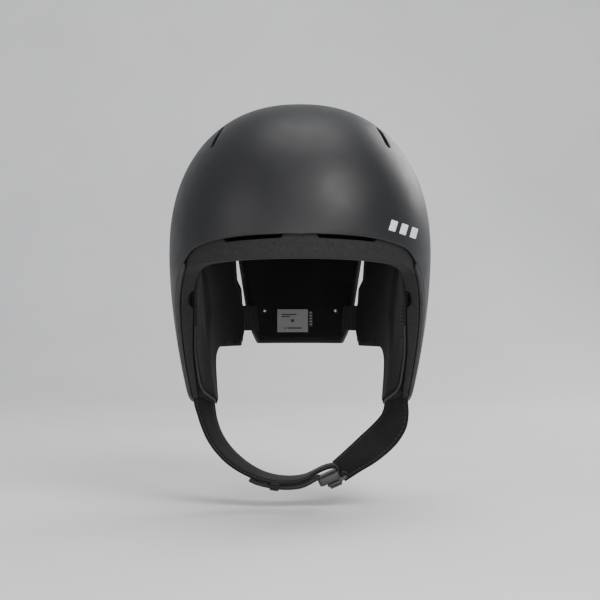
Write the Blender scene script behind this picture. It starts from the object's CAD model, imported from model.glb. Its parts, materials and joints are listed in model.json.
import json
import math
from dataclasses import dataclass

import bmesh
import bpy
import numpy as np
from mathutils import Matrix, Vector, geometry, kdtree


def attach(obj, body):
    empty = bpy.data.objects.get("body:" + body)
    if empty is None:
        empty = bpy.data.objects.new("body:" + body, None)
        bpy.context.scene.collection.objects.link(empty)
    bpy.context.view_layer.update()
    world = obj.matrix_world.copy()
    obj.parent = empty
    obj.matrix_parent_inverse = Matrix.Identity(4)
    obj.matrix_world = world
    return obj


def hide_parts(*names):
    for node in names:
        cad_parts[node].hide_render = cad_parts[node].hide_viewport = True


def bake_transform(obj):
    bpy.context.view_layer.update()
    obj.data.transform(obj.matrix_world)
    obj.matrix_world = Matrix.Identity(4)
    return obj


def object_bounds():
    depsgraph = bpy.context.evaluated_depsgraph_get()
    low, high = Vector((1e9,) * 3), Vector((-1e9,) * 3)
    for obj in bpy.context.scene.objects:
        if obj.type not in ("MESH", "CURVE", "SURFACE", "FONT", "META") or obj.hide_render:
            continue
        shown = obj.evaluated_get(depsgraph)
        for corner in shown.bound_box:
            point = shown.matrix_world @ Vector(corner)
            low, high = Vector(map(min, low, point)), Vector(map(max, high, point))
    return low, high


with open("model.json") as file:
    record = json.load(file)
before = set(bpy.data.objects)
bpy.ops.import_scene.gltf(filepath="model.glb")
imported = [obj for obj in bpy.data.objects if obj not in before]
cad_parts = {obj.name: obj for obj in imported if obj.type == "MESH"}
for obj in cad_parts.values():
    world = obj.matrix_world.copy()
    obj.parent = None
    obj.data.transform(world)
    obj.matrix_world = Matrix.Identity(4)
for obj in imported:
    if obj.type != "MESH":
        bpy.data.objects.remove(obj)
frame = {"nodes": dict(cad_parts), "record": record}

CAD_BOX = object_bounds()

# ---- Sizes shared with the CAD model ----

SQUARENESS = 2.25  # power of the rounded squares that the head forms are made of
SKIRT_DEPTH = 120.0  # depth below the widest level where the forms are tucked in by their full tuck
SKIRT_POWER = 1.8
CROWN_FACE = 87.0  # level of the crown pad's flat face, the row's origin
CHART_RADIUS = 180.0  # length of a line on the dome, from the crown to the widest level
CRADLE_SEAM = 32.0  # level where the rear cradle bends
PIVOT = (75.3, 3.0, -119.5)  # where the left strap swings

MM = 0.001
WIDE = np.array([0.0, 1.0, 0.0])  # from the front edge of a strap to its rear edge
SIDES = ((-1, "right"), (1, "left"))  # the wearer's right and left
SHELL_THICKNESS = 2.2
PAD_GAP = 0.4  # between the foam's inside and the pads


@dataclass(frozen=True)
class Form:
    half_width: float
    half_length: float
    height: float
    side_tuck: float
    nape_tuck: float


OUTER = Form(105.5, 128.0, 121.0, 16.2, 21.5)
INNER = Form(91.5, 110.0, 98.0, 11.4, 21.5)


def to_frame(points):
    """Design millimetres to metres in the row frame."""
    return (np.asarray(points, float) - (0.0, 0.0, CROWN_FACE)) * MM


# ---- Head-form surfaces ----


def signed_power(value, power):
    return np.sign(value) * np.abs(value) ** power


def skirt_size(form, inset, z):
    """Half width and half length of a form's skirt at level z, or of its widest level for the dome."""
    tuck = (np.clip(-z, 0.0, None) / SKIRT_DEPTH) ** SKIRT_POWER
    half_width = form.half_width - inset - form.side_tuck * tuck
    return half_width, form.half_length - inset - form.nape_tuck * tuck


def ring_size(form, inset, z):
    """Half width and half length of a head form at level z."""
    dome = np.clip(z / (form.height - inset), 0.0, 1.0)
    share = (1.0 - dome**SQUARENESS) ** (1.0 / SQUARENESS)
    half_width, half_length = skirt_size(form, inset, z)
    return half_width * share, half_length * share


def level(form, inset, run):
    """The level z at a run from the crown, in chart millimetres."""
    rise = np.clip(1.0 - run / CHART_RADIUS, 0.0, 1.0) * math.pi / 2
    dome = (form.height - inset) * np.sin(rise) ** (2.0 / SQUARENESS)
    return np.where(run > CHART_RADIUS, CHART_RADIUS - run, dome)


def run_at(form, inset, z):
    """The chart run of a level z."""
    dome = np.clip(z / (form.height - inset), 0.0, 1.0)
    rise = np.arcsin(dome ** (SQUARENESS / 2.0))
    return np.where(z < 0, CHART_RADIUS - z, CHART_RADIUS * (1.0 - rise / (math.pi / 2)))


def on_form(form, inset, chart):
    """Points of a head form from chart points (run, turned round the crown)."""
    run = np.hypot(chart[:, 0], chart[:, 1])
    turn = np.arctan2(chart[:, 1], chart[:, 0])
    rise = np.clip(1.0 - run / CHART_RADIUS, 0.0, 1.0) * math.pi / 2
    share = np.where(run < CHART_RADIUS, np.cos(rise) ** (2.0 / SQUARENESS), 1.0)
    z = level(form, inset, run)
    half_width, half_length = skirt_size(form, inset, z)
    x = half_width * share * signed_power(np.cos(turn), 2.0 / SQUARENESS)
    y = half_length * share * signed_power(np.sin(turn), 2.0 / SQUARENESS)
    return np.stack([x, y, z], axis=1)


def to_chart(turn, run):
    return np.stack([run * np.cos(turn), run * np.sin(turn)], axis=1)


def chart_from_side(form, inset, outline, side):
    """Chart points of [y, z] points seen from the side. Points past either end stop at the mid plane."""
    y, z = np.asarray(outline, float).T
    half_length = ring_size(form, inset, z)[1]
    sine = np.clip(signed_power(y / np.maximum(half_length, 1e-6), SQUARENESS / 2.0), -1.0, 1.0)
    turn = np.arcsin(sine)
    return to_chart(turn if side > 0 else math.pi - turn, run_at(form, inset, z))


def chart_from_end(form, inset, outline, end):
    """Chart points of [x, z] points seen from the front (end -1) or from behind (end +1)."""
    x, z = np.asarray(outline, float).T
    half_width = ring_size(form, inset, z)[0]
    cosine = np.clip(signed_power(x / np.maximum(half_width, 1e-6), SQUARENESS / 2.0), -1.0, 1.0)
    return to_chart(end * np.arccos(cosine), run_at(form, inset, z))


# ---- Outlines ----


def spline(points, count):
    """A centripetal curve through points, as count evenly spread points."""
    points = np.asarray(points, float)
    padded = np.vstack([2 * points[0] - points[1], points, 2 * points[-1] - points[-2]])
    curve = []
    for i in range(1, len(padded) - 2):
        p0, p1, p2, p3 = padded[i - 1 : i + 3]
        for t in np.linspace(0.0, 1.0, 24, endpoint=False):
            bend = 2 * p0 - 5 * p1 + 4 * p2 - p3
            twist = -p0 + 3 * p1 - 3 * p2 + p3
            curve.append(0.5 * (2 * p1 + (p2 - p0) * t + bend * t * t + twist * t**3))
    curve.append(points[-1])
    return resample(np.array(curve), count)


def resample(line, count):
    steps = np.linalg.norm(np.diff(line, axis=0), axis=1)
    travel = np.concatenate([[0.0], np.cumsum(steps)])
    at = np.linspace(0.0, travel[-1], count)
    return np.stack([np.interp(at, travel, line[:, k]) for k in range(line.shape[1])], axis=1)


def spaced(line, step):
    steps = np.linalg.norm(np.diff(line, axis=0), axis=1)
    return resample(np.asarray(line, float), max(int(steps.sum() / step) + 1, 2))


def closed(line):
    return np.vstack([line, line[:1]])


def offset(line, distance):
    """The line moved to its right by distance."""
    ahead = np.vstack([line[1:], line[-1:]]) - np.vstack([line[:1], line[:-1]])
    ahead /= np.linalg.norm(ahead, axis=1)[:, None]
    return line + distance * np.stack([ahead[:, 1], -ahead[:, 0]], axis=1)


def inside(outline, points):
    """Which points lie inside a closed outline."""
    x, y = points[:, 0], points[:, 1]
    hit = np.zeros(len(points), bool)
    for (x0, y0), (x1, y1) in zip(outline, np.roll(outline, -1, axis=0)):
        crosses = (y0 > y) != (y1 > y)
        if not crosses.any():
            continue
        at = x0 + (y - y0) * (x1 - x0) / (y1 - y0 if y1 != y0 else 1e-9)
        hit ^= crosses & (x < at)
    return hit


# ---- Patches: trimmed stretches of a head form, with rounded edges ----


def distance_to(targets, points):
    """How far each point is from the nearest target point."""
    tree = kdtree.KDTree(len(targets))
    for i, target in enumerate(targets):
        tree.insert(target, i)
    tree.balance()
    return np.array([tree.find(p)[2] for p in points])


def chart_grid(form, inset, spacing, reach):
    """Staggered rings of chart points between the lowest and the highest level of reach."""
    first, last = (float(run_at(form, inset, np.array(z))) for z in reversed(reach))
    rings = []
    for k, run in enumerate(np.arange(first, last, spacing)):
        count = max(6, int(2 * math.pi * min(run, CHART_RADIUS) * 0.65 / spacing))
        turns = (np.arange(count) + 0.5 * (k % 2)) * 2 * math.pi / count
        rings.append(to_chart(turns, np.full(count, run)))
    return np.vstack(rings)


def form_patch(form, inset, lines, keep, spacing, reach):
    """Chart points and triangles of the part of a form where keep(points) holds.
    Lines are chart polylines that the triangles follow."""
    borders = [spaced(line, spacing * 0.8) for line in lines]
    grid = chart_grid(form, inset, spacing, reach)
    grid = grid[keep(on_form(form, inset, grid))]
    from_border = distance_to(on_form(form, inset, np.vstack(borders)), on_form(form, inset, grid))
    clear = from_border > 0.45 * spacing
    points = [Vector(p) for p in np.vstack([*borders, grid[clear]])]
    edges = []
    start = 0
    for border in borders:
        edges += [(start + i, start + i + 1) for i in range(len(border) - 1)]
        start += len(border)
    verts, _, faces, *_ = geometry.delaunay_2d_cdt(points, edges, [], 0, 1e-4)
    chart = np.array([v[:] for v in verts])
    faces = np.array([f for f in faces if len(f) == 3], int)
    centres = chart[faces].mean(axis=1)
    faces = faces[keep(on_form(form, inset, centres))]
    used = np.unique(faces)
    index = np.full(len(chart), -1)
    index[used] = np.arange(len(used))
    return chart[used], index[faces]


def face_normals(points, faces):
    a, b, c = points[faces[:, 0]], points[faces[:, 1]], points[faces[:, 2]]
    return np.cross(b - a, c - a)


def vertex_normals(points, faces):
    normals = np.zeros_like(points)
    flat = face_normals(points, faces)
    for k in range(3):
        np.add.at(normals, faces[:, k], flat)
    return normals / np.maximum(np.linalg.norm(normals, axis=1), 1e-12)[:, None]


def rim_edges(faces):
    """Directed edges that belong to one triangle only."""
    edges = np.vstack([faces[:, [0, 1]], faces[:, [1, 2]], faces[:, [2, 0]]])
    key = np.sort(edges, axis=1)
    _, first, counts = np.unique(key, axis=0, return_index=True, return_counts=True)
    return edges[first[counts == 1]]


@dataclass
class Slab:
    """How a patch is thickened. Lip is the crisp edge radius, soft is the padded edge's radius."""

    depth: float
    lip: float = 0.6
    soft: float = 0.0
    soft_under: float = 0.0
    relief: object = None  # function of (points, rim distance) giving how far the face rises
    inner: object = None  # (form, inset) of the underside, when it doesn't run parallel
    carve: object = None  # function of (points, rim distance) giving how far the underside is cut back
    square: object = None  # function of points: 1 where the edge walls run straight fore and aft
    draw: float = 1.0  # how much narrower such a straight wall gets at the underside


LEAST_THICKNESS = 0.8  # a carved slab never gets thinner than this
LIP_BENDS = [math.radians(bend) for bend in (30.0, 60.0, 90.0)]


def soft_drop(distance, radius):
    if radius <= 0:
        return np.zeros_like(distance)
    t = np.clip(1.0 - distance / radius, 0.0, 1.0)
    return radius * (1.0 - np.sqrt(1.0 - t * t * 0.98))


def straight_ahead(form, inset, spots):
    """Spots on a form with the same x and z as the given ones."""
    x, y, z = spots.T
    half_width, half_length = ring_size(form, inset, z)
    share = 1.0 - np.minimum(np.abs(x) / np.maximum(half_width, 1e-9), 0.97) ** SQUARENESS
    return np.stack([x, np.sign(y) * half_length * share ** (1.0 / SQUARENESS), z], axis=1)


def smooth(value, low, high):
    """Rises gently from 0 at low to 1 at high."""
    t = np.clip((value - low) / (high - low), 0.0, 1.0)
    return t * t * (3.0 - 2.0 * t)


def underside(form, inset, chart, top, slab):
    """Where the thickness of a slab ends, under each point of its top."""
    under_form, under_inset = slab.inner or (form, inset + slab.depth)
    bottom = on_form(under_form, under_inset, chart)
    if slab.square is None:
        return bottom
    straight = straight_ahead(under_form, under_inset, top * (slab.draw, 1.0, 1.0))
    share = slab.square(top)[:, None]
    return bottom * (1.0 - share) + straight * share


def outward(top, faces, edges):
    """Directions that point away from the patch at its rim, and are zero elsewhere."""
    normal = vertex_normals(top, faces)
    out = np.zeros_like(top)
    for a, b in edges:
        side = np.cross(top[b] - top[a], normal[a])
        side /= max(np.linalg.norm(side), 1e-9)
        out[a] += side
        out[b] += side
    return out / np.maximum(np.linalg.norm(out, axis=1), 1e-9)[:, None]


def thick_patch(form, inset, patch, slab):
    """Points and faces of a closed body: the patch, its rounded edge and its underside."""
    chart, faces = patch
    top = on_form(form, inset, chart)
    if (face_normals(top, faces) * top[faces].mean(axis=1)).sum() < 0:
        faces = faces[:, ::-1]
    bottom = underside(form, inset, chart, top, slab)
    down = bottom - top
    thickness = np.linalg.norm(down, axis=1)
    down /= thickness[:, None]
    edges = rim_edges(faces)
    rim = np.unique(edges)
    distance = distance_to(top[rim], top)
    rise = -soft_drop(distance, slab.soft)
    if slab.relief is not None:
        rise = rise + slab.relief(top, distance)
    lift = soft_drop(distance, slab.soft_under)
    if slab.carve is not None:
        lift = lift + slab.carve(top, distance)
    high = top - down * rise[:, None]
    low = bottom - down * np.minimum(lift, thickness + rise - LEAST_THICKNESS)[:, None]
    lip = min(slab.lip, 0.45 * float(thickness.min()))
    out = outward(top, faces, edges) * lip
    rings = [high + out * math.sin(a) + down * lip * (1 - math.cos(a)) for a in LIP_BENDS]
    rings += [low + out * math.sin(a) - down * lip * (1 - math.cos(a)) for a in LIP_BENDS[::-1]]
    return stitch_slab(high, low, [ring[rim] for ring in rings], rim, faces, edges)


def stitch_slab(high, low, rings, rim, faces, edges):
    """Joins a top, an underside and the rings of rim points between them."""
    count = len(high)
    place = np.full(count, -1)
    place[rim] = np.arange(len(rim))
    starts = [count + i * len(rim) for i in range(len(rings))]
    under_start = count + len(rings) * len(rim)
    polygons = [tuple(f) for f in faces]
    polygons += [tuple(f[::-1] + under_start) for f in faces]
    for a, b in edges:
        ladder_a = [a] + [s + place[a] for s in starts] + [under_start + a]
        ladder_b = [b] + [s + place[b] for s in starts] + [under_start + b]
        for k in range(len(ladder_a) - 1):
            polygons.append((ladder_b[k], ladder_a[k], ladder_a[k + 1], ladder_b[k + 1]))
    return np.vstack([high, *rings, low]), polygons


def make_object(name, points, polygons, material, smooth_angle=50.0):
    mesh = bpy.data.meshes.new(name)
    vertices = [tuple(p) for p in to_frame(points)]
    mesh.from_pydata(vertices, [], [tuple(int(i) for i in f) for f in polygons])
    mesh.update()
    obj = bpy.data.objects.new(name, mesh)
    bpy.context.scene.collection.objects.link(obj)
    mesh.shade_smooth()
    mesh.set_sharp_from_angle(angle=math.radians(smooth_angle))
    mesh.materials.append(material)
    return obj


# ---- Trims: what a patch is cut to ----


def chart_of(form, inset, points):
    """Chart points of spots near a form's dome."""
    x, y, z = np.asarray(points, float).T
    sizes = (form.half_width - inset, form.half_length - inset, form.height - inset)
    total = sum(np.abs(v / s) ** SQUARENESS for v, s in zip((x, y, z), sizes))
    x, y, z = (v * total ** (-1.0 / SQUARENESS) for v in (x, y, z))
    half_width, half_length = ring_size(form, inset, z)
    cosine = signed_power(x / half_width, SQUARENESS / 2.0)
    sine = signed_power(y / half_length, SQUARENESS / 2.0)
    return to_chart(np.arctan2(sine, cosine), run_at(form, inset, z))


class Edge:
    """Keeps what is above (or below) a curve z(y), on both sides."""

    def __init__(self, outline, above=True):
        self.outline = np.asarray(outline, float)
        self.above = above

    def lines(self, form, inset):
        y, z = self.outline.T
        on = np.abs(y) < ring_size(form, inset, z)[1] - 0.05
        line = self.outline[on]
        ends = [np.array([[math.copysign(999.0, line[k, 0]), line[k, 1]]]) for k in (0, -1)]
        line = np.vstack([ends[0], line, ends[1]])
        return [chart_from_side(form, inset, line, side) for side in (1, -1)]

    def holds(self, points):
        z = np.interp(points[:, 1], self.outline[:, 0], self.outline[:, 1])
        return (points[:, 2] > z) == self.above


class SideShape:
    """Keeps what is inside a closed [y, z] outline, on one side or both."""

    def __init__(self, outline, side=0):
        self.outline = np.asarray(outline, float)
        self.side = side

    def lines(self, form, inset):
        sides = (self.side,) if self.side else (1, -1)
        outline = spaced(closed(self.outline), 1.0)
        return [chart_from_side(form, inset, outline, side) for side in sides]

    def holds(self, points):
        hit = inside(self.outline, points[:, [1, 2]])
        return hit & (points[:, 0] * self.side > 0) if self.side else hit


class EndShape:
    """Keeps what is inside (or outside) a closed [x, z] outline at the front (-1) or rear (+1)."""

    def __init__(self, outline, end, keep=True):
        self.outline = np.asarray(outline, float)
        self.end = end
        self.keep = keep

    def lines(self, form, inset):
        outline = spaced(closed(self.outline), 1.0)
        return [chart_from_end(form, inset, outline, self.end)]

    def holds(self, points):
        hit = inside(self.outline, points[:, [0, 2]]) & (points[:, 1] * self.end > 0)
        return hit == self.keep


class Slot:
    """Cuts a round-ended slot in the dome."""

    def __init__(self, x, y, length, width):
        self.centre, self.along, self.across = slot_frame(x, y)
        self.half = length / 2 - width / 2
        self.radius = width / 2

    def lines(self, form, inset):
        turns = np.linspace(0, 2 * math.pi, 49)
        a = self.radius * np.cos(turns) + np.where(np.cos(turns) >= 0, self.half, -self.half)
        b = self.radius * np.sin(turns)
        ring = self.centre + a[:, None] * self.along + b[:, None] * self.across
        return [chart_of(form, inset, ring)]

    def holds(self, points):
        local = points - self.centre
        a = np.clip(np.abs(local @ self.along) - self.half, 0, None)
        b = local @ self.across
        near = np.linalg.norm(local, axis=1) < 40
        return ~(near & (np.hypot(a, b) < self.radius))


class Where:
    """Keeps what a plain test holds, along lines given in side view."""

    def __init__(self, test, side_lines=()):
        self.test = test
        self.side_lines = side_lines

    def lines(self, form, inset):
        return [chart_from_side(form, inset, line, side) for line in self.side_lines for side in (1, -1)]

    def holds(self, points):
        return self.test(points)


def slot_frame(x, y):
    """Centre, long direction and cross direction of a vent slot on the shell."""
    side = math.copysign(1.0, x)
    centre = dome_point(OUTER, x, y)
    grow = np.array([OUTER.half_width, OUTER.half_length, OUTER.height])
    normal = signed_power(centre / grow, SQUARENESS - 1) / grow
    normal /= np.linalg.norm(normal)
    along = dome_point(OUTER, x - 2.5 * side, y - 8 * math.copysign(1.0, y)) - centre
    along -= normal * (along @ normal)
    along /= np.linalg.norm(along)
    return centre, along, np.cross(normal, along)


def dome_point(form, x, y):
    rest = 1 - abs(x / form.half_width) ** SQUARENESS - abs(y / form.half_length) ** SQUARENESS
    return np.array([x, y, form.height * rest ** (1 / SQUARENESS)])


def cut_patch(form, inset, trims, spacing, reach):
    lines = [line for trim in trims for line in trim.lines(form, inset)]

    def keep(points):
        held = np.ones(len(points), bool)
        for trim in trims:
            held &= trim.holds(points)
        return held

    return form_patch(form, inset, lines, keep, spacing, reach)


def rectangle(left, right, bottom, top):
    return [[left, bottom], [right, bottom], [right, top], [left, top]]


def mirror_half(half):
    half = np.asarray(half, float)
    return np.vstack([half * (-1, 1), half[::-1]])


SHELL_EDGE = spline(
    [[-140, 12.8], [-127, 12.2], [-112, 9.2], [-101, 6.2], [-89, 2.2], [-76, -7.4], [-61, -22], [-49, -40],
     [-37.5, -64], [-28, -90], [-21, -107.5], [-12, -111.5], [15, -117], [24, -115.5], [31, -103],
     [39, -88], [50, -77.5], [66, -74], [95, -73], [140, -73]], 420)
FOAM_EDGE = offset(SHELL_EDGE, 2.8)
BROW_EDGE = spline(
    [[-140, -5], [-127, -5.4], [-109, -7.2], [-93, -8.9], [-84, -11], [-76, -13.8], [-69, -17.6],
     [-60, -24]], 120)
CRADLE = mirror_half([[57, CRADLE_SEAM], [54, -4], [48, -42], [42.5, -65], [38, -74.5]])
CRADLE_OPENING = mirror_half(
    [[61.5, CRADLE_SEAM + 1.3], [58.2, -4], [57.2, -19], [53.4, -27], [52.4, -44], [51.4, -62],
     [52.4, -80]])
VENTS = [(side * x, y) for side in (1, -1) for x, y in ((65, -53), (62, 58))]

above_shell_edge = Edge(SHELL_EDGE)
above_foam_edge = Edge(FOAM_EDGE)
outside_opening = EndShape(CRADLE_OPENING, 1, keep=False)

SEAM = np.array([[-52, -40], [-68.6, -17.7], [-74.5, -12.5], [-75.5, -4], [-68, 6], [-50, 24]], float)


def past_seam(points):
    """Distance behind the seam between the brow band and the flap foams."""
    return points[:, 1] - np.interp(points[:, 2], SEAM[:, 1], SEAM[:, 0])


def seam_line(shift):
    return spaced(SEAM, 1.5) + (shift, 0.0)


def ahead_of_seam(shift):
    return Where(lambda p: past_seam(p) < shift, [seam_line(shift)])


def behind_seam(shift):
    return Where(lambda p: past_seam(p) > shift, [seam_line(shift)])


def on_side(side):
    return Where(lambda p: p[:, 0] * side > 20)


# ---- Materials ----


class Nodes:
    """A short way to wire a material's nodes."""

    def __init__(self, name):
        self.material = bpy.data.materials.new(name)
        self.material.use_nodes = True
        self.tree = self.material.node_tree
        self.shader = self.tree.nodes["Principled BSDF"]

    def new(self, kind, inputs=(), **settings):
        node = self.tree.nodes.new(kind)
        for key, value in settings.items():
            setattr(node, key, value)
        for key, value in dict(inputs).items():
            self.feed(node.inputs[key], value)
        return node

    def feed(self, socket, value):
        if isinstance(value, bpy.types.NodeSocket):
            self.tree.links.new(value, socket)
        else:
            socket.default_value = value

    def place(self, scale=(1, 1, 1), source="Object"):
        coordinates = self.new("ShaderNodeTexCoord")
        inputs = {"Vector": coordinates.outputs[source], "Scale": scale}
        return self.new("ShaderNodeMapping", inputs).outputs["Vector"]

    def noise(self, where, scale, detail, rough=0.55):
        inputs = {"Vector": where, "Scale": scale, "Detail": detail, "Roughness": rough}
        return self.new("ShaderNodeTexNoise", inputs).outputs["Fac"]

    def cells(self, where, scale, feature, output="Distance"):
        node = self.new("ShaderNodeTexVoronoi", {"Vector": where, "Scale": scale}, feature=feature)
        return node.outputs[output]

    def spread(self, value, low, high, out_low, out_high):
        inputs = {"Value": value, "From Min": low, "From Max": high, "To Min": out_low, "To Max": out_high}
        return self.new("ShaderNodeMapRange", inputs).outputs["Result"]

    def math(self, operation, a, b=0.0):
        return self.new("ShaderNodeMath", {0: a, 1: b}, operation=operation).outputs[0]

    def mix(self, share, a, b):
        node = self.new("ShaderNodeMix", data_type="RGBA")
        self.feed(node.inputs["Factor"], share)
        for socket, value in zip([s for s in node.inputs if s.type == "RGBA"], (a, b)):
            self.feed(socket, value)
        return [s for s in node.outputs if s.type == "RGBA"][0]

    def bump(self, height, distance, strength):
        inputs = {"Height": height, "Distance": distance, "Strength": strength}
        return self.new("ShaderNodeBump", inputs).outputs["Normal"]

    def finish(self, **inputs):
        for key, value in inputs.items():
            self.feed(self.shader.inputs[key.replace("_", " ")], value)
        return self.material


def grey(value, tint=0.0):
    return (value, value, value * (1 + tint), 1.0)


def shell_material():
    n = Nodes("shell_satin_black")
    where = n.place()
    grain = n.noise(where, 2600, 4, 0.6)
    cloud = n.noise(where, 14, 3)
    color = n.mix(n.spread(cloud, 0.3, 0.7, 0, 1), grey(0.012, 0.06), grey(0.015, 0.06))
    rough = n.spread(n.noise(where, 60, 4), 0.3, 0.7, 0.43, 0.50)
    normal = n.bump(grain, 0.00006, 0.5)
    return n.finish(Base_Color=color, Roughness=rough, Normal=normal, Specular_IOR_Level=0.4)


def foam_material():
    """Moulded bead foam: small packed beads with fine grooves and a few paler flecks."""
    n = Nodes("bead_foam_black")
    where = n.place()
    beads = n.cells(where, 620, "DISTANCE_TO_EDGE")
    groove = n.spread(beads, 0.0, 0.12, 0.0, 1.0)
    speck = n.noise(where, 1900, 3, 0.7)
    tone = n.cells(where, 620, "F1", "Color")
    flecks = n.math("GREATER_THAN", speck, 0.6)
    base = n.mix(tone, grey(0.013), grey(0.021))
    color = n.mix(n.math("MULTIPLY", flecks, 0.5), base, grey(0.055))
    height = n.math("ADD", n.math("MULTIPLY", groove, 0.5), n.math("MULTIPLY", speck, 0.8))
    normal = n.bump(height, 0.00016, 0.7)
    return n.finish(Base_Color=color, Roughness=0.78, Normal=normal, Specular_IOR_Level=0.25)


def knit_material(name, low, high, pitch, sheen, depth=0.00025, source="Object"):
    """Stretch knit: rows of small loops, with a soft nap."""
    n = Nodes(name)
    where = n.place(source=source)
    split = n.new("ShaderNodeSeparateXYZ", {"Vector": where})
    rate = 2 * math.pi / pitch
    rows = n.math("SINE", n.math("MULTIPLY", split.outputs["Z" if source == "Object" else "X"], rate))
    sideways = n.math("ADD", split.outputs["X"], split.outputs["Y"])
    if source != "Object":
        sideways = split.outputs["Y"]
    columns = n.math("SINE", n.math("MULTIPLY", sideways, rate * 0.72))
    loops = n.math("MULTIPLY", rows, columns)
    fuzz = n.noise(where, 1800, 4, 0.7)
    cloud = n.noise(where, 28, 3)
    height = n.math("ADD", n.math("MULTIPLY", loops, 0.5), fuzz)
    share = n.math("ADD", n.math("MULTIPLY", loops, 0.12), n.spread(cloud, 0.3, 0.7, 0.1, 0.7))
    color = n.mix(share, grey(low), grey(high))
    normal = n.bump(height, depth, 0.7)
    nap = {"Sheen_Weight": sheen, "Sheen_Roughness": 0.5, "Specular_IOR_Level": 0.12}
    return n.finish(Base_Color=color, Roughness=0.92, Normal=normal, **nap)


def webbing_material(name, low, high, pitch, wave=0.9):
    """Flat woven strap: ribs across it, with a twill step. It reads the piece's own length and width."""
    n = Nodes(name)
    split = n.new("ShaderNodeSeparateXYZ", {"Vector": n.place(source="UV")})
    along = n.math("MULTIPLY", split.outputs["X"], 2 * math.pi / pitch)
    across = n.math("MULTIPLY", split.outputs["Y"], 2 * math.pi / (pitch * 1.25))
    weave = n.math("SINE", n.math("ADD", along, n.math("MULTIPLY", n.math("SINE", across), wave)))
    fine = n.noise(n.place(), 2400, 3, 0.6)
    height = n.math("ADD", weave, n.math("MULTIPLY", fine, 0.8))
    color = n.mix(n.spread(weave, -1, 1, 0.1, 0.9), grey(low), grey(high))
    normal = n.bump(height, 0.0002, 0.8)
    nap = {"Sheen_Weight": 0.15, "Specular_IOR_Level": 0.25}
    return n.finish(Base_Color=color, Roughness=0.85, Normal=normal, **nap)


def moulded_material(name, tone, rough, grain, depth, wear=0.0):
    n = Nodes(name)
    where = n.place()
    cloud = n.spread(n.noise(where, 160, 3), 0.3, 0.7, 0.0, 1.0)
    color = n.mix(cloud, grey(tone * 0.92, 0.03), grey(tone * 1.1, 0.03))
    if wear:
        edge = n.new("ShaderNodeNewGeometry").outputs["Pointiness"]
        color = n.mix(n.spread(edge, 0.53, 0.62, 0.0, wear), color, grey(tone * 2.6))
    normal = n.bump(n.noise(where, grain, 4), depth, 0.6)
    spread = n.spread(n.noise(where, 300, 3), 0.3, 0.7, rough - 0.04, rough + 0.05)
    return n.finish(Base_Color=color, Roughness=spread, Normal=normal, Specular_IOR_Level=0.5)


def metal_material(name, tone, rough):
    n = Nodes(name)
    where = n.place((1, 1, 24))
    lines = n.noise(where, 500, 3)
    normal = n.bump(lines, 0.00002, 0.5)
    color = n.mix(lines, grey(tone), grey(tone * 1.2))
    worn = n.spread(lines, 0.3, 0.7, rough, rough + 0.12)
    return n.finish(Base_Color=color, Metallic=1.0, Roughness=worn, Normal=normal)


def label_material():
    n = Nodes("woven_label")
    where = n.place()
    split = n.new("ShaderNodeSeparateXYZ", {"Vector": where})
    threads = n.math("SINE", n.math("MULTIPLY", split.outputs["Z"], 2 * math.pi / 0.0007))
    color = n.mix(n.spread(threads, -1, 1, 0.2, 0.8), grey(0.19), grey(0.26))
    normal = n.bump(n.math("ADD", threads, n.noise(where, 2000, 2)), 0.00008, 0.6)
    return n.finish(Base_Color=color, Roughness=0.75, Normal=normal)


MATERIALS = {
    "shell": shell_material(),
    "foam": foam_material(),
    "trim": moulded_material("soft_rubber_edging", 0.022, 0.6, 900, 0.00008),
    "lining": knit_material("lining_knit", 0.005, 0.013, 0.0009, 0.08, depth=0.00012),
    "neoprene": knit_material("strap_cover_knit", 0.006, 0.016, 0.0009, 0.1, depth=0.00014, source="UV"),
    "webbing": webbing_material("strap_webbing", 0.008, 0.022, 0.0019),
    "elastic": webbing_material("ribbed_elastic", 0.005, 0.014, 0.0018, wave=0.15),
    "hook": knit_material("hook_and_loop", 0.008, 0.016, 0.0012, 0.1),
    "buckle": moulded_material("buckle_plastic", 0.032, 0.4, 1500, 0.00004, wear=0.2),
    "buckle_dark": moulded_material("release_tab_plastic", 0.035, 0.5, 1500, 0.00006, wear=0.2),
    "steel": metal_material("rivet_steel", 0.55, 0.25),
    "magnet": metal_material("magnet_plating", 0.5, 0.2),
    "label": label_material(),
    "piping": knit_material("edge_piping", 0.035, 0.06, 0.0011, 0.15),
    "hole": moulded_material("punched_hole", 0.002, 0.9, 900, 0.00002),
    "thread": moulded_material("stitch_thread", 0.05, 0.8, 3000, 0.0001),
    "decal": moulded_material("printed_bars", 0.78, 0.45, 3000, 0.00002),
    "mark": moulded_material("label_print", 0.012, 0.7, 3000, 0.00002),
}


def dress_cad_nodes():
    """Every CAD node gets its slot's finish, whether it stays in view or is replaced later."""
    slots = {part["node"]: part["material_slot"] for part in frame["record"]["subparts"]}
    for name, node in frame["nodes"].items():
        node.data.materials.clear()
        node.data.materials.append(MATERIALS[slots[name]])


# ---- Pieces ----


def settle(obj, body, nodes):
    """Ties a piece to its body, to the CAD nodes it stands in for and to its material slot."""
    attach(obj, body)
    if nodes:
        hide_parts(*nodes)
    return obj


def fix_facing(obj):
    """Turns every face outward."""
    bm = bmesh.new()
    bm.from_mesh(obj.data)
    bmesh.ops.recalc_face_normals(bm, faces=bm.faces)
    bm.to_mesh(obj.data)
    bm.free()


def merge(parts):
    """One list of points and polygons from several."""
    points, polygons, start = [], [], 0
    for part_points, part_polygons in parts:
        points.append(part_points)
        polygons += [tuple(i + start for i in f) for f in part_polygons]
        start += len(part_points)
    return np.vstack(points), polygons


def build_part(name, parts, material, body, nodes=(), smooth_angle=40):
    """One object from several closed bodies."""
    obj = make_object(name, *merge(parts), MATERIALS[material], smooth_angle)
    fix_facing(obj)
    return settle(obj, body, nodes)


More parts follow.
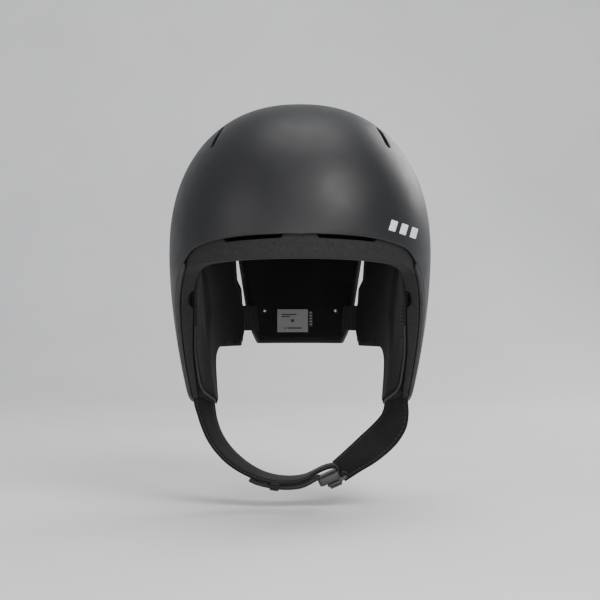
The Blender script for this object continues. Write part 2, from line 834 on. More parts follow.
def build_skin(name, place, trims, spacing, reach, slab, material, nodes=(), body="helmet"):
    """One trimmed stretch of a head form, made thick. Place is the form and its top's depth under it,
    spacing the size of its triangles, and reach its lowest and highest level."""
    patch = cut_patch(*place, trims, spacing, reach)
    points, polygons = thick_patch(*place, patch, slab)
    obj = make_object(name, points, polygons, MATERIALS[material])
    return settle(obj, body, nodes)


def build_shell():
    slots = [Slot(x, y, 34, 7) for x, y in VENTS]
    trims = [above_shell_edge, outside_opening, *slots]
    slab = Slab(SHELL_THICKNESS, lip=0.7)
    build_skin("shell_skin", (OUTER, 0), trims, 2.2, (-122, 121), slab, "shell", ["outer_shell"])


def squared_at_rear(points):
    """1 round the rear opening, so the slots beside the cradle can be seen straight through."""
    return smooth(points[:, 1], 86, 102) * (1.0 - smooth(points[:, 2], 38, 62))


def build_crown_foam():
    slots = [Slot(x, y, 33, 6) for x, y in VENTS]
    brow_top = BROW_EDGE + (0, 30.4)
    bottom = np.vstack([brow_top[BROW_EDGE[:, 0] < -58], [[-57, -8], [200, -8]]])
    trims = [Edge(bottom), outside_opening, *slots]
    slab = Slab(14, lip=1.2, inner=(INNER, 0), square=squared_at_rear)
    build_skin("crown_liner", (OUTER, 2.6), trims, 4.0, (-8, 118), slab, "foam", ["crown_foam"])


def build_brow_foam():
    lower = Edge(BROW_EDGE)
    upper = Edge(BROW_EDGE + (0, 30), above=False)
    notch = np.array([[9.8, 16], [13.2, 8.3], [43, 6.7], [55, 5.7], [59, 9.5], [59, 16]])
    notches = [EndShape(notch * (side, 1), -1, keep=False) for side in (1, -1)]
    trims = [lower, upper, ahead_of_seam(-0.9), *notches]
    slab = Slab(14, lip=0.7, inner=(INNER, 0))
    build_skin("brow_band", (OUTER, 2.5), trims, 1.8, (-36, 40), slab, "foam", ["brow_foam"])


def build_brow_parting_line():
    """The fine line down the middle of the brow band, where its mould parts."""
    trims = [EndShape(rectangle(-0.2, 0.2, -4.6, 2.6), -1)]
    slab = Slab(0.1, lip=0.02)
    build_skin("brow_parting_line", (OUTER, 2.44), trims, 1.0, (-6, 5), slab, "hole")


FLAP_TOP = -8.4
NOTCH = {"level": -35.5, "half_height": 6.4, "depth": 5.0}  # the finger notch in the flap's front edge


def behind_foam_edge(points):
    """How far points lie behind the front edge of the flap foam, seen from the side."""
    front = FOAM_EDGE[(FOAM_EDGE[:, 1] < 0) & (FOAM_EDGE[:, 1] > -104) & (FOAM_EDGE[:, 0] < 0)]
    return points[:, 1] - np.interp(points[:, 2], front[::-1, 1], front[::-1, 0])


def notch_depth(points):
    """Depth of the finger notch at each point's level."""
    level = np.abs(points[:, 2] - NOTCH["level"]) / NOTCH["half_height"]
    return NOTCH["depth"] * np.sqrt(np.clip(1.0 - level**2, 0.0, 1.0)) * (points[:, 1] < 0)


def flap_thinning(points):
    """How much thinner the flap foam gets towards its lower end."""
    return 2.0 * smooth(-points[:, 2], 48, 84)


def flap_carve(points, distance):
    return np.maximum(notch_depth(points) * (1.0 - smooth(distance, 2, 8)), flap_thinning(points))


def build_flap(side, name):
    below_top = Where(lambda p: p[:, 2] < FLAP_TOP, [[[-90, FLAP_TOP], [118, FLAP_TOP]]])
    trims = [above_foam_edge, behind_seam(0), outside_opening, on_side(side), below_top]
    slab = Slab(10, lip=1.0, inner=(INNER, 0), carve=flap_carve, square=squared_at_rear)
    place = (OUTER, 3.6)
    build_skin(f"flap_liner_{name}", place, trims, 2.2, (-126, -8), slab, "foam", [f"flap_foam_{name}"])


def build_trim(side, name):
    band = [Edge(offset(SHELL_EDGE, 0.35), above=False), Edge(offset(SHELL_EDGE, 3.2))]
    ends = Where(lambda p: (p[:, 1] > -86) & (p[:, 1] < 100))
    trims = [*band, behind_seam(0.3), outside_opening, on_side(side), ends]
    place = (OUTER, 0.3)
    slab = Slab(2.9, lip=0.9)
    build_skin(f"rim_edging_{name}", place, trims, 1.1, (-126, 6), slab, "trim", [f"edge_trim_{name}"])


def squared(points):
    return np.ones(len(points))


def build_cradle():
    """The cradle's shell, foam and pad, each a little smaller than the one outside it."""
    foam = mirror_half([[55.4, CRADLE_SEAM - 2.8], [52.8, -4], [46.8, -42], [41.3, -65], [37.2, -73.6]])
    pad = mirror_half([[52.0, CRADLE_SEAM - 3.6], [50, -6], [44.2, -38], [38, -62], [34.5, -72]])
    skin_slab = Slab(SHELL_THICKNESS, lip=0.7, square=squared)
    foam_slab = Slab(9.4, lip=1.4, square=squared, draw=0.945)
    pad_slab = Slab(5.1, lip=0.8, soft_under=2.8, square=squared, draw=0.985)
    layers = [
        ("cradle_skin", "cradle_shell", "shell", 0, CRADLE, 1.8, 34, skin_slab),
        ("cradle_liner", "cradle_foam", "foam", 2.6, foam, 2.2, 34, foam_slab),
        ("cradle_padding", "cradle_pad", "lining", 12.3, pad, 1.8, 32, pad_slab),
    ]
    for name, node, material, inset, outline, spacing, top, slab in layers:
        trims = [EndShape(outline, 1)]
        build_skin(name, (OUTER, inset), trims, spacing, (-76, top), slab, material, [node], "cradle")


EAR_PAD = spline(
    [[-57, -9], [-54, -20], [-42.5, -42], [-32, -66], [-24.5, -91], [-18, -106.5], [-9, -112.5],
     [12, -120.4], [21, -118.6], [29, -103], [37, -86.6], [48, -78], [62, -74], [80, -72.6], [87, -56],
     [88, -40], [84, -22], [83, -2], [60, 3], [0, 4], [-48, 3]], 200)
EAR_PAD_DEPTH = 11.6
EAR_HOLLOW = {"y": 8.0, "z": -47.0, "half_length": 32.0, "half_height": 50.0, "depth": 2.4}


def ear_pad_relief(points, distance):
    """The pad fills the space the thinner flap foam leaves, and the back of the finger notch."""
    in_notch = (notch_depth(points) - 0.6) * smooth(distance, 0.3, 2.6)
    in_notch *= 1.0 - smooth(behind_foam_edge(points), 8, 13)
    return np.maximum(flap_thinning(points), in_notch)


def ear_pad_carve(points, _):
    """The pad is thin at the flap's front edge and swells towards the rear, round a shallow ear hollow."""
    ramp = 50.0 - 20.0 * smooth(-points[:, 2], 70, 106)
    share = np.clip(behind_foam_edge(points) / ramp, 0.0, 1.0)
    front = (10.2 + flap_thinning(points)) * (1.0 - share) ** 1.15
    across = (points[:, 1] - EAR_HOLLOW["y"]) / EAR_HOLLOW["half_length"]
    up = (points[:, 2] - EAR_HOLLOW["z"]) / EAR_HOLLOW["half_height"]
    reach = np.abs(across) + 0.75 * np.maximum(-up, 0.0) + 0.25 * np.abs(up)
    hollow = EAR_HOLLOW["depth"] * (1.0 - smooth(reach, 0.45, 1.0))
    top = 3.0 * smooth(points[:, 2], -26, 2)
    return np.maximum(front, hollow) + top


def ear_pad_face(y, z, side, lift):
    """Points of the pad's visible face at side-view spots, lifted off it towards the head."""
    chart = chart_from_side(INNER, PAD_GAP, np.stack([y, z], axis=1), side)
    outer = on_form(INNER, PAD_GAP, chart)
    inner = on_form(INNER, PAD_GAP + EAR_PAD_DEPTH, chart)
    thickness = np.linalg.norm(inner - outer, axis=1)[:, None]
    carve = np.minimum(ear_pad_carve(outer, None), EAR_PAD_DEPTH - LEAST_THICKNESS)[:, None]
    return outer + (inner - outer) / thickness * (thickness - carve + lift)


def build_ear_pad(side, name):
    slab = Slab(EAR_PAD_DEPTH, lip=0.6, soft_under=2.4, relief=ear_pad_relief, carve=ear_pad_carve)
    trims = [SideShape(EAR_PAD, side)]
    place = (INNER, PAD_GAP)
    build_skin(f"ear_padding_{name}", place, trims, 1.4, (-122, 6), slab, "lining", [f"ear_pad_{name}"])
    build_piping(side, name)
    build_sound_holes(side, name)


def build_piping(side, name):
    """A thin sewn cord along the front and lower edge of the ear pad."""
    edge = EAR_PAD[(EAR_PAD[:, 1] < -56) & (EAR_PAD[:, 0] < 15)]
    edge = resample(offset(edge, 0.7), 120)
    cord = tube(ear_pad_face(edge[:, 0], edge[:, 1], side, -1.3), 0.75)
    build_part(f"ear_piping_{name}", [cord], "piping", "helmet", smooth_angle=60)


def build_sound_holes(side, name):
    """Two columns of small holes through the thin front of the lining."""
    parts = []
    for row, z in enumerate(np.linspace(-42, -66, 9)):
        for column in range(2):
            front = np.interp(-z, -EAR_PAD[:60, 1], EAR_PAD[:60, 0])
            y = np.array([front + 5.0 + 4.2 * column + 1.0 * (row % 2)])
            level_z = np.array([z])
            centre = ear_pad_face(y, level_z, side, 0.12)[0]
            under = ear_pad_face(y, level_z, side, -0.5)[0]
            axis = (centre - under) / np.linalg.norm(centre - under)
            parts.append(turned([(0.75, -0.25), (0.75, -0.02), (0.55, 0.0)], centre, axis, 12))
    build_part(f"sound_holes_{name}", parts, "hole", "helmet", smooth_angle=60)


def build_crown_pad():
    """A round cushion with a stitched groove. Its flat face is the one the wearer's crown meets."""
    face = [(0.0, 0.0), (12.0, 0.0), (20.0, 0.0), (27.0, 0.0), (27.6, 0.35), (28.2, 0.35), (28.8, 0.0)]
    edge = [(33.0, 0.05), (34.6, 0.5), (35.6, 1.5), (36.0, 2.8), (36.0, 6.2), (35.4, 7.2), (34.0, 7.7)]
    profile = [*face, *edge, (18.0, 8.7), (0.0, 9.0)]
    cushion = turned(profile, np.array([0.0, 0.0, CROWN_FACE]), np.array([0.0, 0.0, 1.0]), 96)
    build_part("crown_cushion", [cushion], "lining", "helmet", ["crown_pad"])


def build_pads():
    place = (INNER, PAD_GAP)
    brow = [[-130, 26], [-130, -1.5], [-96, -3.5], [-80, -6], [-70, -5], [-66, 0], [-66, 14], [-84, 24]]
    slab = Slab(6, lip=0.8, soft=0.6, soft_under=3.6)
    build_skin("brow_padding", place, [SideShape(brow)], 2.0, (-14, 28), slab, "lining", ["brow_pad"])
    temple = [[-58, 8], [62, 8], [70, 13], [66, 26], [40, 36], [-40, 36], [-58, 20]]
    slab = Slab(5, lip=0.8, soft=0.6, soft_under=3.0)
    for side, name in SIDES:
        trims, nodes = [SideShape(temple, side)], [f"side_pad_{name}"]
        build_skin(f"side_padding_{name}", place, trims, 2.2, (6, 38), slab, "lining", nodes)


# ---- Sweeps: straps, webbing and loops ----


def flat_section(half, thickness):
    """A plain strap with rounded selvedges."""
    t = thickness / 2
    edge = 0.5
    top = [(-half, 0.3 * t), (-half + edge * 0.4, 0.8 * t), (-half + edge, t)]
    top += [(v, t) for v in np.linspace(-half + edge * 2, half - edge * 2, 9)]
    top += [(half - edge, t), (half - edge * 0.4, 0.8 * t), (half, 0.3 * t)]
    return closed_section(top)


def hemmed_section(half, thickness, hem=2.6):
    """A padded strap with a thin sewn hem along each edge."""
    t = thickness / 2
    thin = min(0.95, t * 0.62)
    rise = [(0.0, 0.35), (0.35, 0.8), (0.9, 1.0), (hem - 0.9, 1.0), (hem - 0.35, 0.78), (hem, 0.7)]
    side = [(-half + d, thin * k) for d, k in rise]
    side += [(-half + hem + 0.5, thin + (t - thin) * 0.42), (-half + hem + 1.4, thin + (t - thin) * 0.72)]
    side += [(-half + hem + 3.0, t * 0.95), (-half + hem + 5.0, t)]
    middle = [(v, t * 1.03) for v in np.linspace(-1, 1, 3) * (half - hem - 6.5)]
    top = side + middle + [(-v, u) for v, u in reversed(side)]
    return closed_section(top)


def closed_section(top):
    """A closed loop of (across, rise) points from its upper half."""
    top = np.array(top)
    return np.vstack([top, top[::-1] * (1, -1)])


def path_frames(stations, step):
    """Centres, tangents, wide directions and half widths along stations (x, z, half, drop)."""
    rows = np.array([(s + (0.0,))[:4] for s in stations], float)
    count = int(np.linalg.norm(np.diff(rows[:, :2], axis=0), axis=1).sum() / step) + 2
    dense = spline(rows, count)
    run = np.gradient(dense[:, :2], axis=0)
    run /= np.linalg.norm(run, axis=1)[:, None]
    tangent = np.stack([run[:, 0], np.zeros(len(run)), run[:, 1]], axis=1)
    half, drop = dense[:, 2], dense[:, 3]
    wide = np.stack([-run[:, 1] * drop, half, run[:, 0] * drop], axis=1)
    centre = np.stack([dense[:, 0], np.full(len(run), PIVOT[1]), dense[:, 1]], axis=1)
    length = np.linalg.norm(wide, axis=1)
    wide /= length[:, None]
    up = np.cross(tangent, wide)
    up /= np.linalg.norm(up, axis=1)[:, None]
    return centre, tangent, wide, up, length


def ring_skin(rings):
    """A closed body through rings of equal point counts."""
    count = len(rings[0])
    polygons = []
    for i in range(len(rings) - 1):
        for k in range(count):
            a, b = i * count + k, i * count + (k + 1) % count
            polygons.append((a, b, b + count, a + count))
    last = (len(rings) - 1) * count
    polygons += [tuple(range(count))[::-1], tuple(range(last, last + count))]
    return np.vstack(rings), polygons


def sweep(stations, section_at, step, rows):
    """Points, polygons and (along, across) metres of a strap, or of its first-to-last rows.
    section_at(half, share) gives each section."""
    centre, _, wide, up, half = path_frames(stations, step)
    travel = np.concatenate([[0.0], np.cumsum(np.linalg.norm(np.diff(centre, axis=0), axis=1))])
    points, uv = [], []
    for i in range(*(rows or (0, len(centre)))):
        section = section_at(half[i], i / (len(centre) - 1))
        points.append(centre[i] + section[:, :1] * wide[i] + section[:, 1:] * up[i])
        uv.append(np.stack([np.full(len(section), travel[i]), section[:, 0]], axis=1) * MM)
    return *ring_skin(points), np.vstack(uv)


def add_uv(obj, uv):
    layer = obj.data.uv_layers.new(name="UVMap")
    loops = np.zeros(len(obj.data.loops), int)
    obj.data.loops.foreach_get("vertex_index", loops)
    layer.data.foreach_set("uv", uv[loops].ravel())


def build_sweep(name, stations, section_at, material, step=1.2, rows=None):
    points, polygons, uv = sweep(stations, section_at, step, rows)
    obj = make_object(name, points, polygons, MATERIALS[material], 60)
    add_uv(obj, uv)
    fix_facing(obj)
    return obj


def build_webbing(name, stations, half_more, thickness, body, nodes=(), step=1.2):
    """A flat strap, a little wider than its stations say where half_more is given."""

    def section_at(half, _):
        return flat_section(half + half_more, thickness)

    return settle(build_sweep(name, stations, section_at, "webbing", step), body, nodes)


def ring_round(axis, sides):
    """Unit directions square to an axis, all the way round it."""
    helper = np.array([0.0, 0.0, 1.0]) if abs(axis[2]) < 0.9 else np.array([1.0, 0.0, 0.0])
    u = np.cross(axis, helper)
    u /= np.linalg.norm(u)
    v = np.cross(axis, u)
    turns = np.arange(sides) * 2 * math.pi / sides
    return np.cos(turns)[:, None] * u + np.sin(turns)[:, None] * v


def turned(profile, centre, axis, sides=40):
    """A lathed body. Profile rows are (radius, height along axis)."""
    ring = ring_round(axis, sides)
    return ring_skin([centre + h * axis + ring * max(r, 0.02) for r, h in profile])


def capsule(a, b, radius):
    """A small stitch from a to b."""
    length = np.linalg.norm(b - a)
    profile = [(0.35 * radius, 0.0), (radius, radius), (radius, length - radius), (0.35 * radius, length)]
    return turned(profile, a, (b - a) / length, 6)


def tube(line, radius, sides=8):
    """A round cord along a line of points."""
    ahead = np.gradient(line, axis=0)
    ahead /= np.linalg.norm(ahead, axis=1)[:, None]
    u = np.cross(ahead, np.array([1.0, 0.0, 0.0]))
    u /= np.linalg.norm(u, axis=1)[:, None]
    v = np.cross(ahead, u)
    turns = np.arange(sides) * 2 * math.pi / sides
    rings = [line + radius * (math.cos(t) * u + math.sin(t) * v) for t in turns]
    return ring_skin(np.stack(rings, axis=1))


STITCH = {"every": 6, "reach": 1.0, "radius": 0.27}  # every is counted in half-millimetre steps


def build_stitching(name, stations, inset, lift, share=(0.0, 1.0)):
    """Rows of stitches inset from both edges of a strap, lifted off its middle plane on both faces."""
    centre, tangent, wide, up, half = path_frames(stations, 0.5)
    count = len(centre)
    parts = []
    for i in range(int(count * share[0]), int(count * share[1]) - 1, STITCH["every"]):
        reach = tangent[i] * STITCH["reach"]
        for edge in (-1, 1):
            for face in (1, -1):
                middle = centre[i] + edge * (half[i] - inset) * wide[i] + face * lift * up[i]
                parts.append(capsule(middle - reach, middle + reach, STITCH["radius"]))
    thread = make_object(name, *merge(parts), MATERIALS["thread"], 60)
    fix_facing(thread)
    return thread


# Stations of each strap: x, z, half width fore and aft, and how far its twist moves the rear edge.
LONG_STRAP = [
    (-80, -109, 10.6, 6.4), (-79.2, -114.5, 10.8, 6.8), (-78, -120.5, 10.8, 7.4),
    (-76.6, -127, 11.2, 6.8), (-74.4, -136, 12, 6), (-70.2, -147, 12.6, 5.4),
    (-63.4, -157.6, 13, 4.8), (-54, -167.3, 13, 4.2), (-40.8, -176.2, 12.6, 3.2),
    (-27, -181.6, 12.5, 2.2), (-13.8, -183.5, 12.5, 1.6), (-2, -183, 12.5, 1.2),
    (6, -180.8, 12.5, 0.8), (12.4, -177.2, 12.5, 0), (18.4, -174.2, 12.5, 0),
    (24.2, -172.3, 12.4, 0), (28.4, -172.3, 12, 0), (30.4, -174.4, 11.6, 0),
    (30, -177, 11.4, 0),
]
STRAP_TAIL = [
    (-40.4, -181.4, 12.3, 1.2), (-36.4, -184.1, 12.3, 1), (-30, -186.3, 12.3, 0.8),
    (-20, -188.2, 12.3, 0.8), (-10, -188.8, 12.3, 0.8), (0, -187.8, 12.3, 0.8),
    (7, -185.2, 12.3, 0.6), (12, -182.8, 12.2, 0.2), (16, -181, 12, 0),
]
SLEEVE = [
    (78.2, -110, 11.2, -8.2), (78.4, -116, 11.2, -8.4), (78.6, -122, 11.4, -8.8),
    (78.2, -129, 11.6, -9.6), (75.6, -137.5, 12.2, -10.6), (68.2, -147.2, 13, -11.2),
    (56.2, -158, 13.6, -10.8), (43.6, -167.6, 13.4, -9.2), (31.6, -176.8, 12.4, -8),
]
SHORT_WEB = [
    (36.2, -173.4, 10.6, -6), (34.2, -175.4, 10.8, -3), (33.6, -177.6, 11, -1),
    (34.6, -179.4, 11, 0), (36.8, -180.2, 11, 0), (38.6, -178.8, 11, 0),
    (38.6, -176.2, 11, -1), (37.2, -174, 10.8, -4),
]


def sewn_end(share, start, end):
    """Thins a strap towards its ends, where it is sewn shut."""
    grow = 1.0
    if start:
        grow = min(grow, 0.45 + 0.55 * min(share / start, 1.0))
    if end:
        grow = min(grow, 0.45 + 0.55 * min((1 - share) / end, 1.0))
    return grow


def in_frame(x, y, z):
    return tuple(to_frame([x, y, z]))


def build_long_half():
    def section_at(half, share):
        return hemmed_section(half, 3.6 * sewn_end(share, 0, 0.05))

    cover = build_sweep("long_strap_cover", LONG_STRAP, section_at, "neoprene")
    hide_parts("long_strap")
    thread = build_stitching("long_strap_stitching", LONG_STRAP, 2.55, 0.78)
    for piece in (cover, thread):
        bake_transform(piece)
    build_webbing("strap_tail", STRAP_TAIL, 0, 1.9, "long_half")
    tip = STRAP_TAIL[:2]
    cuff = [tip[0], tuple(0.4 * a + 0.6 * b for a, b in zip(*tip))]
    build_webbing("tail_tip", cuff, 0.2, 2.5, "long_half", step=0.5)


STRAP_ROOTS = {
    "right": [(-87, -87.5, 9, 0), (-85, -98, 10, 1.6), (-82, -107, 10.2, 4.6), (-80.2, -112.5, 10.4, 6)],
    "left": [(87, -87.5, 9, 0), (84.6, -98, 10, -2), (80.6, -107, 10, -5.6), (78.6, -112.8, 10.2, -7.6)],
}
LINK_WEB = [(78.5, -113.5, 8.4, -6.2), (78.6, -118.0, 8.4, -6.4), (78.5, -123.5, 8.4, -6.6)]
SLEEVE_SPLIT = -121.0  # above this level the sleeve hangs still, below it swings


def build_strap_roots():
    """The plain webbing that ties each strap to its anchor, out of sight between foam and pad."""
    for name, stations in STRAP_ROOTS.items():
        build_webbing(f"strap_root_web_{name}", stations, 0, 1.4, "helmet", [f"strap_root_{name}"])
    build_webbing("link_web", LINK_WEB, 0, 1.4, "link", ["web_link"])


def sleeve_section(half, share):
    return hemmed_section(half, 6.4 * sewn_end(share, 0.1, 0.05), 3.0)


def build_sleeve():
    """The padded sleeve in two lengths, because it bends at two joints, and the webbing loop below it."""
    levels = path_frames(SLEEVE, 1.2)[0][:, 2]
    count = len(levels)
    split = int(np.argmax(levels < SLEEVE_SPLIT))
    top_ends = (in_frame(78, 3, -113), in_frame(78, 3, -120.6))
    low_ends = (in_frame(75.3, 3, -121.4), in_frame(75.3, 3, -130))
    lengths = [
        ("sleeve_top", (0, split + 1), [], ("helmet", "link", *top_ends)),
        ("padded_sleeve", (split, count), ["strap_sleeve"], ("link", "short_half", *low_ends)),
    ]
    for name, rows, nodes, blend in lengths:
        cover = build_sweep(name, SLEEVE, sleeve_section, "neoprene", 1.2, rows)
        if nodes:
            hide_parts(*nodes)
        share = (rows[0] / count, rows[1] / count)
        thread = build_stitching(f"{name}_stitching", SLEEVE, 2.9, 0.86, share)
        for piece in (cover, thread):
            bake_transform(piece)
    build_webbing("short_webbing_loop", SHORT_WEB, 0, 1.6, "short_half", ["short_webbing"], step=0.7)


KEEPER = {"x": -6.0, "z": -90.0, "radius": 98.9, "from": -10.6, "to": -6.4}
KEEPER_BAND = {"half": 13.0, "rise": 2.5, "wall": 0.7, "corner": 1.0}


def keeper_ring(angle, size):
    """One ring round the strap at an angle of the strap's arc, grown by size."""
    up = np.array([-math.sin(angle), 0, math.cos(angle)])
    centre = np.array([KEEPER["x"], PIVOT[1], KEEPER["z"]]) - KEEPER["radius"] * up
    plan = rounded_loop(KEEPER_BAND["half"] + size, KEEPER_BAND["rise"] + size, KEEPER_BAND["corner"])
    return centre + plan[:, :1] * WIDE + plan[:, 1:] * up


def build_keeper():
    """A flat sewn band round both layers of the strap: out along its outside, back along its inside."""
    angles = [math.radians(a) for a in np.linspace(KEEPER["from"], KEEPER["to"], 10)]
    ease = np.array([0.3, *[0.0] * 8, 0.3])  # softens both ends of the band
    loops = [keeper_ring(a, KEEPER_BAND["wall"] - e) for a, e in zip(angles, ease)]
    loops += [keeper_ring(a, e) for a, e in zip(angles[::-1], ease)]
    count = len(loops[0])
    polygons = []
    for i in range(len(loops)):
        after = (i + 1) % len(loops)
        for k in range(count):
            ahead = (k + 1) % count
            polygons.append((i * count + k, i * count + ahead, after * count + ahead, after * count + k))
    band = make_object("keeper_band", np.vstack(loops), polygons, MATERIALS["elastic"], 60)
    around = np.stack([np.linspace(0, 0.09, count), np.zeros(count)], axis=1)
    add_uv(band, np.tile(around, (len(loops), 1)))
    fix_facing(band)
    settle(band, "keeper", ["strap_keeper"])


def rounded_loop(half, rise, radius, steps=6):
    """A rounded rectangle as (across, up) points."""
    points = []
    for quarter, (sx, sy) in enumerate(((1, 1), (-1, 1), (-1, -1), (1, -1))):
        for k in range(steps + 1):
            a = math.radians(90 * quarter + 90 * k / steps)
            across = sx * (half - radius) + radius * math.cos(a)
            points.append((across, sy * (rise - radius) + radius * math.sin(a)))
    return np.array(points)


# ---- Buckle ----

BUCKLE_CENTRE = np.array([25.5, PIVOT[1], -185.4])
BUCKLE_TILT = math.radians(24)
ALONG = np.array([math.cos(BUCKLE_TILT), 0.0, math.sin(BUCKLE_TILT)])
UP = np.array([-math.sin(BUCKLE_TILT), 0.0, math.cos(BUCKLE_TILT)])


def buckle_at(along, up, y=0.0):
    return BUCKLE_CENTRE + along * ALONG + up * UP + y * WIDE


def block(along, up, size, corner, edge, y=0.0):
    """A block on the buckle's own axes, with a rounded plan and rounded upper and lower edges."""
    length, width, height = size
    bends = [math.radians(b) for b in (0, 30, 60, 90)]
    levels = [(edge * (1 - math.sin(b)), -height / 2 + edge * (1 - math.cos(b))) for b in bends]
    levels += [(i, -h) for i, h in reversed(levels)]
    rings = []
    for inset, rise in levels:
        plan = rounded_loop(length / 2 - inset, width / 2 - inset, max(corner - inset, 0.15))
        rings.append(buckle_at(along, up, y) + plan[:, :1] * ALONG + plan[:, 1:] * WIDE + rise * UP)
    return ring_skin(rings)


def build_buckle():
    """The closed buckle: the base below, the latch above, the release tab underneath."""
    base = [block(3.0, -0.9, (13.0, 26.0, 2.6), 3.0, 0.9)]
    base += [block(10.2, 0.4, (7.4, 2.6, 3.0), 1.0, 0.7, side * 11.6) for side in (-1, 1)]
    bar = [(0.9, -12.6), (1.2, -12.2), (1.2, 12.2), (0.9, 12.6)]
    base += [turned(bar, buckle_at(12.4, 1.2), WIDE, 20)]
    build_part("buckle_body", base, "buckle", "short_half", ["buckle_base"])
    latch = [block(0.0, 4.35, (18.6, 27.8, 7.3), 3.2, 1.9)]
    build_part("buckle_latch_frame", latch, "buckle", "long_half", ["buckle_latch"])
    tab = [block(3.0, -3.2, (10.4, 24.0, 1.7), 2.2, 0.7)]
    tab += [block(0.2 + 1.9 * k, -3.2, (0.9, 0.8, 1.1), 0.4, 0.25, -12.1) for k in range(4)]
    build_part("release_tab_grip", tab, "buckle_dark", "release", ["release_tab"])
    disc = [(5.0, 0.0), (5.4, 0.12), (5.4, 1.2)]
    for name, body, up, axis in (("latch", "long_half", 0.62, UP), ("base", "short_half", 0.44, -UP)):
        magnet = turned(disc, buckle_at(3.0, up), axis)
        build_part(f"{name}_magnet_face", [magnet], "magnet", body, [f"{name}_magnet"])


# ---- Rear cradle fittings ----


def rivet_face(x, z):
    """y of the cradle pad's inner face."""
    half_width, half_length = ring_size(OUTER, 17.4, np.array(z))
    return float(half_length * (1 - abs(x / half_width) ** SQUARENESS) ** (1 / SQUARENESS))


RIVET = {"x": 31.5, "z": -45.8}
LABEL_INSET = 17.75
PRINT = {"inset": 18.3, "depth": 0.12}  # what is woven or printed on a label
LABEL_MARKS = [  # left, right, bottom and top of each
    (-16.5, -3, -50, -49.2), (-16.5, -9, -51.8, -51.1), (-7.8, -5.4, -56.2, -53.8),
    (-14, -12.5, -62, -61.2), (-11, 1.5, -62, -61.2),
]


def build_rivet(side, name):
    head = [(0.0, -1.5), (0.6, -1.45), (1.0, -1.25), (1.2, -0.95), (1.55, -0.8), (1.7, -0.5), (1.7, -0.2)]
    profile = [*head, (0.9, -0.1), (0.9, 7.0)]
    centre = np.array([side * RIVET["x"], rivet_face(RIVET["x"], RIVET["z"]) - 0.4, RIVET["z"]])
    rivet = turned(profile, centre, WIDE)
    build_part(f"snap_rivet_{name}", [rivet], "steel", "cradle", [f"cradle_rivet_{name}"])


def build_elastic(side, name):
    """The ribbed elastic across a rear slot. It stretches between the flap and the cradle."""
    edge = np.array([[37, -63], [57.5, -63], [57.5, -42], [39, -42]]) * (side, 1)
    place = (OUTER, 19.2)
    patch = cut_patch(*place, [EndShape(edge, 1)], 1.5, (-66, -38))
    points, polygons = thick_patch(*place, patch, Slab(1.4, lip=0.4))
    band = make_object(f"cradle_band_{name}", points, polygons, MATERIALS["elastic"])
    add_uv(band, np.stack([points[:, 0], points[:, 2]], axis=1) * MM)
    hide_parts(f"cradle_elastic_{name}")
    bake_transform(band)


def build_cradle_fittings():
    for side, name in SIDES:
        build_rivet(side, name)
        build_elastic(side, name)
    build_sheet("size_label_sheet", (-20.1, 7, -65, -45), LABEL_INSET, 0.5, "label", ["size_label"])
    build_sheet("care_tag_sheet", (8.0, 11.2, -60.5, -46.5), LABEL_INSET, 0.5, "mark", ["care_tag"])
    for i in range(5):
        top = -47.2 - 2.6 * i
        sides = (8.5, 10.7, top - 1.3, top)
        build_sheet(f"care_tag_bar_{i + 1}", sides, **PRINT, material="label", spacing=0.6)
    for i, mark in enumerate(LABEL_MARKS):
        build_sheet(f"label_mark_{i + 1}", mark, **PRINT, material="mark", spacing=0.5)


def build_sheet(name, sides, inset, depth, material, nodes=(), spacing=1.0):
    """A thin rectangle laid on the cradle pad."""
    bottom, top = sides[2:]
    trims = [EndShape(rectangle(*sides), 1)]
    reach = (bottom - 2, top + 2)
    slab = Slab(depth, lip=0.12)
    build_skin(name, (OUTER, inset), trims, spacing, reach, slab, material, nodes, "cradle")


def build_decal():
    """Three slanted printed bars, stepping down round the shell's left side."""
    slab = Slab(0.14, lip=0.04)
    for i in range(3):
        x, z = 66 + 8.5 * i, 15.5 - 2.2 * i
        trims = [EndShape([[x, z], [x + 5, z - 1.3], [x + 7.5, z + 6.4], [x + 2.5, z + 7.7]], -1)]
        place, reach, nodes = (OUTER, -0.16), (z - 4, z + 10), [f"decal_bar_{i + 1}"]
        build_skin(f"decal_print_{i + 1}", place, trims, 1.0, reach, slab, "decal", nodes)


# ---- Stage, lights and camera ----


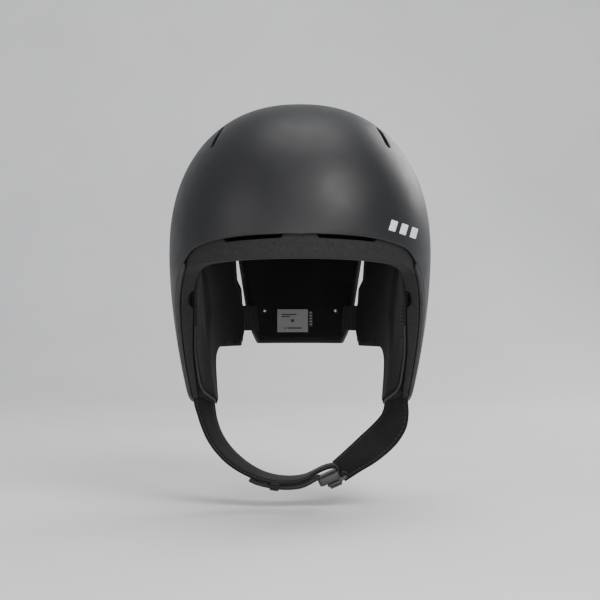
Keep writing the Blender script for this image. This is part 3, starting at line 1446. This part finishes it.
def build_stage():
    floor = float(CAD_BOX[0][2]) - 0.012  # clears the opened strap, which hangs lower than the closed loop
    profile = [(-1.6, 0.0), (1.3, 0.0)]
    for step in range(1, 13):
        bend = math.pi / 2 * step / 12
        profile.append((1.3 + 0.5 * math.sin(bend), 0.5 * (1 - math.cos(bend))))
    profile.append((1.8, 2.4))
    points = [(x, y, z + floor) for y, z in profile for x in (-2.6, 2.6)]
    quads = [(2 * i, 2 * i + 1, 2 * i + 3, 2 * i + 2) for i in range(len(profile) - 1)]
    mesh = bpy.data.meshes.new("studio_floor")
    mesh.from_pydata(points, [], quads)
    mesh.shade_smooth()
    n = Nodes("pale_floor")
    tone = n.spread(n.noise(n.place(), 6, 3), 0.3, 0.7, 0.0, 1.0)
    mesh.materials.append(n.finish(Base_Color=n.mix(tone, grey(0.80), grey(0.84)), Roughness=0.85))
    obj = bpy.data.objects.new("studio_floor", mesh)
    bpy.context.scene.collection.objects.link(obj)


def add_light(name, place, aim, size, power):
    data = bpy.data.lights.new(name, "AREA")
    data.shape = "DISK"
    data.size = size
    data.energy = power
    obj = bpy.data.objects.new(name, data)
    obj.location = place
    obj.rotation_euler = (Vector(aim) - Vector(place)).to_track_quat("-Z", "Y").to_euler()
    bpy.context.scene.collection.objects.link(obj)


def build_lights():
    aim = (0, 0, -0.06)
    add_light("key", (0.75, -1.25, 1.0), aim, 0.9, 23)
    add_light("fill", (-1.3, -1.1, 0.4), aim, 1.2, 7)
    add_light("top", (0.1, 0.1, 1.5), aim, 1.2, 12)
    add_light("low", (0.1, -1.25, -0.16), (0, 0, -0.09), 0.7, 5)
    add_light("rim", (0.9, 1.2, 0.6), aim, 0.8, 10)
    world = bpy.data.worlds.new("studio")
    bpy.context.scene.world = world
    world.use_nodes = True
    world.node_tree.nodes["Background"].inputs["Color"].default_value = (0.9, 0.93, 1.0, 1.0)
    world.node_tree.nodes["Background"].inputs["Strength"].default_value = 0.36


CAMERA_DISTANCE = 1.2
FRAME_WIDTH = 0.489
FRAME_CENTRE = -36.7


def build_camera():
    data = bpy.data.cameras.new("camera")
    data.sensor_width = 36.0
    data.lens = data.sensor_width * CAMERA_DISTANCE / FRAME_WIDTH
    obj = bpy.data.objects.new("camera", data)
    obj.location = (0.0, -CAMERA_DISTANCE, (FRAME_CENTRE - CROWN_FACE) * MM)
    obj.rotation_euler = (math.pi / 2, 0.0, 0.0)
    bpy.context.scene.collection.objects.link(obj)
    bpy.context.scene.camera = obj


dress_cad_nodes()
build_shell()
build_crown_foam()
build_brow_foam()
build_brow_parting_line()
for side, name in SIDES:
    build_flap(side, name)
    build_trim(side, name)
    build_ear_pad(side, name)
build_cradle()
build_pads()
build_crown_pad()
build_strap_roots()
build_long_half()
build_sleeve()
build_keeper()
build_buckle()
build_cradle_fittings()
build_decal()
build_stage()
build_lights()
build_camera()
